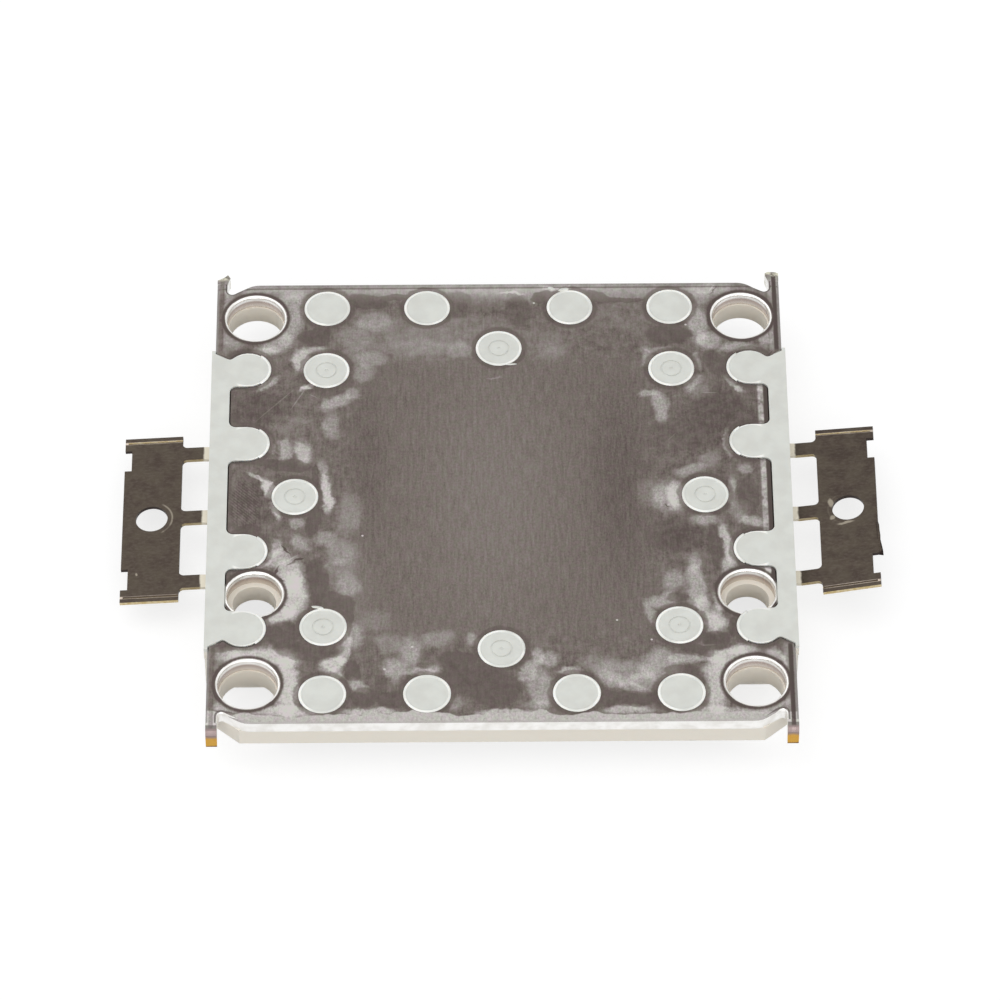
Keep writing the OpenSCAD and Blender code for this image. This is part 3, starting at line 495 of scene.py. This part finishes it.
def terminal_finish():
    s = Shader("tarnished_terminal")
    at = s.position()
    x, y = s.split(at)[:2]
    side, end = s.math("ABSOLUTE", x), s.math("ABSOLUTE", y)
    faces = [s.math("ABSOLUTE", part) for part in s.split(s.normal)[:2]]
    grain = s.noise(at, 6.0, 3.0, 0.7, stretch=(0.5, 1.0, 1.0))
    mottle = s.noise(at, 0.9, 4.0, 0.65)
    colour = s.mix(s.remap(mottle, 0.3, 0.7), tone(64, 54, 48), tone(78, 70, 60))
    colour = s.mix(s.math("MULTIPLY", s.remap(grain, 0.4, 0.7), 0.4), colour, tone(94, 86, 78))

    # Rubbed places: beside the wire holes and in single specks.
    hole_x = cad_box[1][0] / MM - WIRE_HOLE_INSET
    around = s.vector("DISTANCE", s.join(side, y, 0.0), (hole_x, 0.0, 0.0))
    off_arc = s.math("ABSOLUTE", s.math("SUBTRACT", around, SCUFF_R))
    arc = s.math("MULTIPLY", s.remap(off_arc, 0.09, 0.02),
                 s.remap(side, hole_x - 0.6, hole_x - 0.9))
    arc = s.math("MULTIPLY", arc, s.remap(mottle, 0.35, 0.6, 0.15, 0.65))
    places = [(hole_x - 1.25, 0.55, 0.22, 0.5, 20), (hole_x - 0.3, -1.35, 0.7, 0.14, 4),
              (hole_x - 1.1, -0.75, 0.3, 0.2, 40), (-hole_x - 0.9, -4.9, 0.12, 0.12, 0)]
    rubbed = s.spots(s.wander(at, 1.5, 0.4), places, 0.5)
    arc = s.math("MULTIPLY", arc, s.remap(x, 5.0, -5.0, 0.2, 1.0))
    rubbed = s.math("MAXIMUM", arc, s.math("MULTIPLY", rubbed, 0.8))
    colour = s.mix(rubbed, colour, tone(150, 142, 128))

    # The blade's ends have a painted highlight along the score line, the cut edges are brassy, the
    # long edges dark.
    score_highlight = s.math("ABSOLUTE", s.math("SUBTRACT", end, SCORE_Y))
    score_highlight = s.math("MULTIPLY", s.remap(score_highlight, 0.14, 0.05), s.remap(side, 21.9, 22.1))
    score_highlight = s.math("MULTIPLY", score_highlight, s.remap(mottle, 0.3, 0.6, 0.5, 1.0))
    colour = s.mix(score_highlight, colour, tone(204, 190, 176))
    cut_edge = s.remap(s.math("MAXIMUM", faces[0], faces[1]), 0.4, 0.6)
    colour = s.mix(cut_edge, colour, tone(54, 45, 42))
    sheared = s.math("MAXIMUM", s.remap(end, 6.8, 7.0), s.remap(side, 22.0, 21.9, 0.0, 0.6))
    sheared = s.math("MULTIPLY", sheared, s.remap(faces[1], 0.5, 0.8))
    brass = s.mix(s.remap(grain, 0.3, 0.7), tone(182, 158, 104), tone(214, 200, 166))
    colour = s.mix(sheared, colour, brass)
    # The fingers are pale where the plastic was moulded over them.
    finger = s.remap(s.math("MULTIPLY_ADD", mottle, 0.3, side), 20.72, 20.55)
    colour = s.mix(finger, colour, tone(208, 202, 186))
    rough = s.remap(mottle, 0.3, 0.7, 0.32, 0.46)
    return s.surface(colour, rough, s.bump(grain, 0.01 * MM, 0.5), Metallic=0.85)


# ---- Light side --------------------------------------------------------------------
def gel_finish():
    s = Shader("phosphor_gel")
    at = s.position()
    mottle = s.noise(at, 0.5, 3.0)
    fine = s.noise(at, 12.0, 3.0, 0.6)
    colour = s.mix(s.remap(mottle, 0.3, 0.7), tone(240, 200, 62), tone(247, 214, 84))
    colour = s.mix(s.math("MULTIPLY", s.remap(fine, 0.4, 0.7), 0.4), colour, tone(226, 180, 40))

    # The die rows show faintly through the gel, and it is deeper in colour along the wall.
    x, y = s.split(s.wander(at, 1.2, 0.3))[:2]
    rows = s.math("PINGPONG", s.math("ADD", y, ROW_PITCH / 2), ROW_PITCH / 2)
    dies = s.math("PINGPONG", x, DIE_PITCH / 2)
    shade = s.math("MULTIPLY", s.remap(rows, 1.1, 1.6), s.remap(dies, 0.3, 0.75, 0.35, 1.0))
    shade = s.math("MULTIPLY", shade, s.remap(s.math("ABSOLUTE", x), 10.1, 9.4))
    colour = s.mix(s.math("MULTIPLY", shade, 0.5), colour, tone(218, 168, 30))
    wall = s.math("MAXIMUM", s.math("SUBTRACT", s.math("ABSOLUTE", x), WINDOW_HALF[0]),
                  s.math("SUBTRACT", s.math("ABSOLUTE", y), WINDOW_HALF[1]))
    colour = s.mix(s.remap(wall, -1.2, 0.0, 0.0, 0.7), colour, tone(232, 182, 44))
    return s.surface(colour, 0.32, s.bump(mottle, 0.05 * MM, 0.6), Subsurface_Weight=0.25,
                     Subsurface_Radius=(0.002, 0.0012, 0.0004), IOR=1.41)


def die_finish():
    s = Shader("led_die")
    mottle = s.noise(s.position(), 3.0)
    colour = s.mix(s.remap(mottle, 0.3, 0.7), tone(92, 112, 168), tone(112, 132, 186))
    return s.surface(colour, 0.12, IOR=1.77)


def wire_finish():
    s = Shader("gold_wire")
    mottle = s.noise(s.position(), 20.0)
    colour = s.mix(s.remap(mottle, 0.3, 0.7), tone(222, 180, 88), tone(240, 205, 120))
    return s.surface(colour, 0.25, Metallic=1.0)


def dress(names, material):
    for name in names:
        part = frame["nodes"][name]
        for slot in part.material_slots:
            slot.material = material


dress(["base_plate"], plate_finish())
plastic = plastic_finish()
dress(["frame"], plastic)
terminal = terminal_finish()
dress(["left_terminal", "right_terminal"], terminal)
gel = gel_finish()
dress(["phosphor_gel"], gel)
dress(["die_row_%d" % row for row in range(1, 6)], die_finish())
dress(["bond_wires_%d" % row for row in range(1, 6)], wire_finish())


# ---- Small pieces ------------------------------------------------------------------
def piece(name, points, faces, material):
    """Smooth mesh object from points in millimetres."""
    mesh = bpy.data.meshes.new(name)
    mesh.from_pydata([Vector(p) * MM for p in points], [], faces)
    work = bmesh.new()
    work.from_mesh(mesh)
    bmesh.ops.recalc_face_normals(work, faces=work.faces)
    for face in work.faces:
        face.smooth = True
    work.to_mesh(mesh)
    work.free()
    mesh.materials.append(material)
    made = bpy.data.objects.new(name, mesh)
    bpy.context.scene.collection.objects.link(made)
    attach(made, "root")
    return made


def hoops(base, steps, count, n):
    """Faces between neighbouring hoops of n points each. The last of count meets the first."""
    return [(base + i * n + k, base + (i + 1) % count * n + k,
             base + (i + 1) % count * n + (k + 1) % n, base + i * n + (k + 1) % n)
            for i in range(steps) for k in range(n)]


def lips(name, arcs, material):
    """Low rounded lips round moulded heads. arcs holds x, y, radius, first and last angle."""
    profile = [(-0.17, -0.03), (-0.13, 0.008), (-0.06, 0.024),
               (0.02, 0.028), (0.08, 0.016), (0.12, -0.03)]
    n = len(profile)
    points, faces = [], []
    for x, y, radius, first, last in arcs:
        closed = last - first == 360
        steps = round((last - first) / 5)
        count = steps if closed else steps + 1
        base = len(points)
        for i in range(count):
            a = math.radians(first + (last - first) * i / steps)
            swell = 0.75 + 0.6 * noise.noise(Vector((x + math.cos(a), y + math.sin(a), 3.0)))
            points += [(x + (radius + r) * math.cos(a), y + (radius + r) * math.sin(a),
                        h * (swell if h > 0 else 1.0)) for r, h in profile]
        faces += hoops(base, steps, count, n)
        if not closed:
            faces += [tuple(range(i, i + n)) for i in (base, base + steps * n)]
    return piece(name, points, faces, material)


def sliver(name, outline, low, high, material):
    """Thin torn shape over an outline of x, y. Above z = 0 its upper edge is ragged."""
    n = len(outline)
    middle = [sum(p[i] for p in outline) / n for i in (0, 1)]
    points = [(x, y, low) for x, y in outline]
    for x, y in outline:
        ragged = 0.8 + 0.3 * noise.noise(Vector((x, y, 0.0)) * 7)
        points.append((middle[0] + (x - middle[0]) * 0.8, middle[1] + (y - middle[1]) * 0.8,
                       high * ragged if high > 0 else high))
    points.append((middle[0], middle[1], high))
    faces = [(i, (i + 1) % n, n + (i + 1) % n, n + i) for i in range(n)]
    faces += [(n + i, n + (i + 1) % n, 2 * n) for i in range(n)]
    faces.append(tuple(range(n - 1, -1, -1)))
    return piece(name, points, faces, material)


def meniscus(half_x, half_y, corner, level):
    """Gel drawn up the window's wall. Profile: distance from the wall, height above the gel."""
    profile = [(-0.02, -0.03), (-0.02, 0.15), (0.07, 0.09),
               (0.20, 0.035), (0.45, -0.01), (0.45, -0.03)]
    n, steps = len(profile), 25
    points = []
    for quarter, (sx, sy) in enumerate(((1, 1), (-1, 1), (-1, -1), (1, -1))):
        for i in range(steps):
            a = math.radians(90 * (quarter + i / (steps - 1)))
            swell = 0.8 + 0.5 * noise.noise(Vector((math.cos(a) * 4, math.sin(a) * 4, 1.0)))
            points += [(sx * (half_x - corner) + (corner - d) * math.cos(a),
                        sy * (half_y - corner) + (corner - d) * math.sin(a),
                        level - (h * swell if h > 0 else h)) for d, h in profile]
    count = 4 * steps
    return piece("gel_meniscus", points, hoops(0, count, count, n), gel)


def both(value):
    """The signs that mirror a coordinate, one where it is 0."""
    return (-1, 1) if value else (1,)


# Whole rings round the plugs, and the inner part of a ring on each lobe.
lips("plug_lips", [(a * x, b * y, r, 0, 360)
                   for x, y, r in PLUGS[:PLUG_COUNT] for a in both(x) for b in both(y)], plastic)
lips("lobe_lips", [(a * x, b * y, r, 180 * (a > 0) - 55, 180 * (a > 0) + 55)
                   for x, y, r in PLUGS[PLUG_COUNT:] for a in (-1, 1) for b in (-1, 1)], plastic)
meniscus(*WINDOW_HALF, WINDOW_R, cad_box[0][2] / MM + GEL_RECESS)

# Flash torn off by the mould: x, y, half length, half width, turn in degrees.
FLASH = [(4.6, 18.85, 0.42, 0.16, 12), (3.75, 18.95, 0.3, 0.13, -20),
         (0.9, 11.9, 0.4, 0.08, 5), (-12.4, -9.75, 0.45, 0.12, -10)]
for number, (x, y, length, width, turn) in enumerate(FLASH, 1):
    a = math.radians(turn)
    oval = [(x + length * math.cos(t) * math.cos(a) - width * math.sin(t) * math.sin(a),
             y + length * math.cos(t) * math.sin(a) + width * math.sin(t) * math.cos(a))
            for t in (2 * math.pi * i / 20 for i in range(20))]
    sliver("flash_%d" % number, oval, -0.02, 0.05, plastic)

# Burr on the outer edge of the right blade, as y and how far it stands out.
BURR = [(-4.42, 0.28), (-4.2, 0.2), (-3.9, 0.13), (-3.4, 0.1),
        (-2.8, 0.12), (-2.2, 0.07), (-1.6, 0.05), (-1.3, -0.02)]
edge = [(BEND_X + BEND_REACH * math.cos(math.radians(BEND - y / BLADE_L * TWIST)) + out, y)
        for y, out in BURR]
root = [(edge[-1][0] - 0.16, -1.3), (edge[0][0] - 0.28 - 0.16, -4.36)]
sliver("blade_burr", edge + root, -1.33, -1.1, terminal)


# ---- Stage -------------------------------------------------------------------------
def floor():
    s = Shader("white_floor")
    rays = s.node("ShaderNodeLightPath").outputs
    seen = s.math("MAXIMUM", rays["Is Camera Ray"],
                  s.math("MAXIMUM", rays["Is Glossy Ray"], rays["Is Transmission Ray"]))
    matte = s.node("ShaderNodeBsdfDiffuse")
    matte.inputs["Color"].default_value = (0.30, 0.30, 0.30, 1.0)
    glow = s.node("ShaderNodeEmission")
    s.feed(glow.inputs["Strength"], s.math("MULTIPLY", seen, 0.75))
    both = s.node("ShaderNodeAddShader")
    s.feed(both.inputs[0], matte.outputs[0])
    s.feed(both.inputs[1], glow.outputs[0])
    s.feed(s.output.inputs[0], both.outputs[0])
    mesh = bpy.data.meshes.new("floor")
    low = cad_box[0][2] - FLOOR_GAP * MM
    half = 1.5
    corners = [(-half, -half, low), (half, -half, low), (half, half, low), (-half, half, low)]
    mesh.from_pydata(corners, [], [(0, 1, 2, 3)])
    mesh.materials.append(s.material)
    plane = bpy.data.objects.new("floor", mesh)
    bpy.context.scene.collection.objects.link(plane)


def area_light(name, place, target, size, energy):
    lamp = bpy.data.lights.new(name, "AREA")
    lamp.shape = "SQUARE"
    lamp.size = size
    lamp.energy = energy
    made = bpy.data.objects.new(name, lamp)
    made.location = place
    made.rotation_euler = (Vector(target) - Vector(place)).to_track_quat("-Z", "Y").to_euler()
    bpy.context.scene.collection.objects.link(made)


def studio():
    world = bpy.data.worlds.new("studio")
    world.use_nodes = True
    bpy.context.scene.world = world
    tree = world.node_tree
    back = tree.nodes["Background"]
    back.inputs["Color"].default_value = (1.0, 1.0, 1.0, 1.0)
    rays = tree.nodes.new("ShaderNodeLightPath").outputs
    seen = tree.nodes.new("ShaderNodeMath")
    seen.operation = "MAXIMUM"
    tree.links.new(rays["Is Camera Ray"], seen.inputs[0])
    tree.links.new(rays["Is Glossy Ray"], seen.inputs[1])
    either = tree.nodes.new("ShaderNodeMath")
    either.operation = "MAXIMUM"
    tree.links.new(seen.outputs[0], either.inputs[0])
    tree.links.new(rays["Is Transmission Ray"], either.inputs[1])
    level = tree.nodes.new("ShaderNodeMapRange")
    tree.links.new(either.outputs[0], level.inputs["Value"])
    level.inputs["To Min"].default_value = 0.62
    level.inputs["To Max"].default_value = 1.0
    tree.links.new(level.outputs[0], back.inputs["Strength"])
    area_light("key", (-0.25, 0.15, 0.55), (0, 0, 0), 0.62, 1.15)
    area_light("fill", (0.35, -0.35, 0.45), (0, 0, 0), 0.45, 0.5)
    area_light("front", (-0.05, -0.55, 0.14), (0, 0, 0), 0.5, 1.4)


def camera():
    focal_px = 6356.0
    lens = bpy.data.cameras.new("camera")
    lens.sensor_fit = "HORIZONTAL"
    lens.sensor_width = 36.0
    lens.lens = focal_px * 36.0 / 1000.0
    lens.clip_start = 0.01
    lens.clip_end = 10.0
    made = bpy.data.objects.new("camera", lens)
    elevation, yaw, roll = math.radians(50.13), math.radians(0.36), math.radians(-0.08)
    look = Matrix(((1, 0, 0), (0, -math.sin(elevation), -math.cos(elevation)),
                   (0, math.cos(elevation), -math.sin(elevation))))
    turn = Matrix.Rotation(roll, 3, "Z") @ look @ Matrix.Rotation(yaw, 3, "Z")
    offset = Vector((0.0053, -0.3119, 435.21)) * MM
    flip = Matrix(((1, 0, 0), (0, -1, 0), (0, 0, -1)))
    world = (flip @ turn).transposed().to_4x4()
    world.translation = -(turn.transposed() @ offset)
    made.matrix_world = world
    bpy.context.scene.collection.objects.link(made)
    bpy.context.scene.camera = made


floor()
studio()
camera()
bpy.context.scene.view_settings.view_transform = "Standard"
